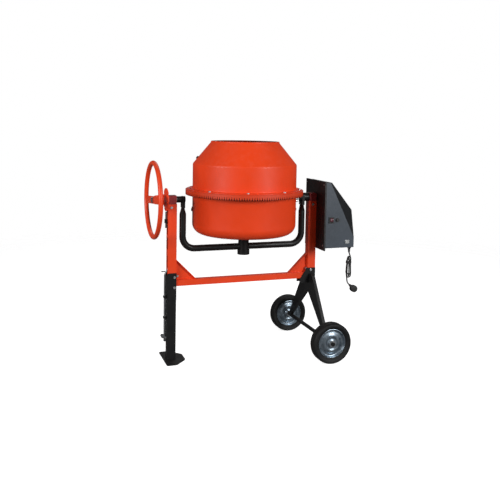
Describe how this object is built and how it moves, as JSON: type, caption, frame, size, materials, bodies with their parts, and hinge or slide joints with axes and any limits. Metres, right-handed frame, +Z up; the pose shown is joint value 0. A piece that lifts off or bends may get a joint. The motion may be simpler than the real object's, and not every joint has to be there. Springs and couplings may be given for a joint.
{
  "type": "concrete mixer",
  "caption": "Electric concrete mixer: tilting drum with ring gear in a bent tube yoke, handwheel, foot lock, motor box, support leg and two-wheeled axle.",
  "frame": {"origin": "on the ground at the centre of the mixer's box, without the hanging cord and plug", "axes": "+Z up, +X towards the motor box, -Y towards the side with the switch"},
  "size_m": [1.1905, 0.684, 1.2005],
  "materials": {
    "drum_orange": "gloss orange-red paint",
    "frame_orange": "gloss orange-red paint",
    "cast_orange": "paint over cast iron",
    "black_paint": "satin black paint",
    "cast_red": "dark red primer on castings",
    "galvanised": "galvanised pressed steel",
    "zinc": "zinc plated",
    "steel": "turned steel",
    "bronze": "sintered bronze",
    "aluminium": "die cast",
    "tyre": "solid rubber",
    "belt": "moulded rubber",
    "black_plastic": "moulded",
    "red_plastic": "moulded",
    "cover_grey": "dark grey painted sheet",
    "cord_rubber": "rubber sheath",
    "nickel": "nickel plated brass"
  },
  "bodies": {
    "frame": {"handwheel_post": "frame_orange", "motor_post": "frame_orange", "cross_tube": "frame_orange", "left_gusset": "frame_orange", "right_gusset": "frame_orange", "support_leg": "black_paint", "foot_plate": "black_paint", "axle_leg_head": "black_paint", "axle_leg_near": "black_paint", "axle_leg_far": "black_paint", "axle": "black_paint", "axle_fasteners": "zinc", "bearing_blocks": "cast_red", "trunnion_bushes": "bronze", "frame_fasteners": "zinc", "rod_guides": "black_paint", "lock_spring": "steel", "motor_body": "aluminium", "drive_belt": "belt", "capacitor": "black_plastic", "motor_tray": "black_paint", "motor_cover": "cover_grey", "switch_bezel": "black_plastic", "cable_gland": "black_plastic", "cable_clamp": "zinc", "cord_drop": "cord_rubber", "cord_tail": "cord_rubber", "cord_hank": "cord_rubber", "plug_body": "cord_rubber", "plug_pins": "nickel"},
    "yoke": {"yoke_arm_left": "black_paint", "yoke_arm_right": "black_paint", "yoke_hub": "black_paint", "hub_bearings": "steel", "left_trunnion": "steel", "right_trunnion": "steel", "trunnion_collars": "black_paint", "lock_disc": "frame_orange", "handwheel_rim": "frame_orange", "handwheel_spoke": "frame_orange"},
    "drum": {"drum_bottom_shell": "drum_orange", "drum_top_shell": "drum_orange", "drum_shaft": "steel", "paddle_left": "cast_red", "paddle_right": "cast_red", "drum_bolts": "zinc", "gear_segment_1": "cast_orange", "gear_segment_2": "cast_orange", "gear_segment_3": "cast_orange"},
    "pinion": {"drive_pinion": "steel", "pinion_shaft": "steel", "drive_pulley": "cast_red"},
    "rotor": {"motor_rotor": "steel"},
    "near_wheel": {"near_wheel_tyre": "tyre", "near_wheel_disc": "galvanised"},
    "far_wheel": {"far_wheel_tyre": "tyre", "far_wheel_disc": "galvanised"},
    "foot_lock": {"lock_rod": "zinc"},
    "rocker": {"switch_rocker": "red_plastic"},
    "button": {"reset_button": "black_plastic"}
  },
  "joints": [
    {"name": "drum_tilt", "type": "hinge", "parent": "frame", "child": "yoke", "pos_m": [-0.04875, 0, 0.88], "axis": [1, 0, 0], "range_deg": [-120, 120]},
    {"name": "drum_spin", "type": "hinge", "parent": "yoke", "child": "drum", "pos_m": [-0.04875, 0, 0.88], "axis": [0, 0, 1], "continuous": true},
    {"name": "pinion_spin", "type": "hinge", "parent": "yoke", "child": "pinion", "pos_m": [0.26325, 0, 0.88], "axis": [1, 0, 0], "continuous": true},
    {"name": "rotor_spin", "type": "hinge", "parent": "frame", "child": "rotor", "pos_m": [0.45125, 0, 0.7], "axis": [1, 0, 0], "continuous": true},
    {"name": "near_wheel_spin", "type": "hinge", "parent": "frame", "child": "near_wheel", "pos_m": [0.35925, -0.3065, 0.112], "axis": [0, 1, 0], "continuous": true},
    {"name": "far_wheel_spin", "type": "hinge", "parent": "frame", "child": "far_wheel", "pos_m": [0.35925, 0.3065, 0.112], "axis": [0, 1, 0], "continuous": true},
    {"name": "lock_lift", "type": "slide", "parent": "frame", "child": "foot_lock", "axis": [0, 0, 1], "range_m": [0, 0.013], "deforming": ["lock_spring"]},
    {"name": "switch_rock", "type": "hinge", "parent": "frame", "child": "rocker", "pos_m": [0.43025, -0.129, 0.7585], "axis": [1, 0, 0], "range_deg": [-8, 8]},
    {"name": "reset_press", "type": "slide", "parent": "frame", "child": "button", "axis": [0, 1, 0], "range_m": [0, 0.003], "stiffness_N_per_m": 300}
  ],
  "couplings": [
    {"joint": "pinion_spin", "follows": "drum_spin", "ratio": -13},
    {"joint": "rotor_spin", "follows": "drum_spin", "ratio": -58.5}
  ]
}
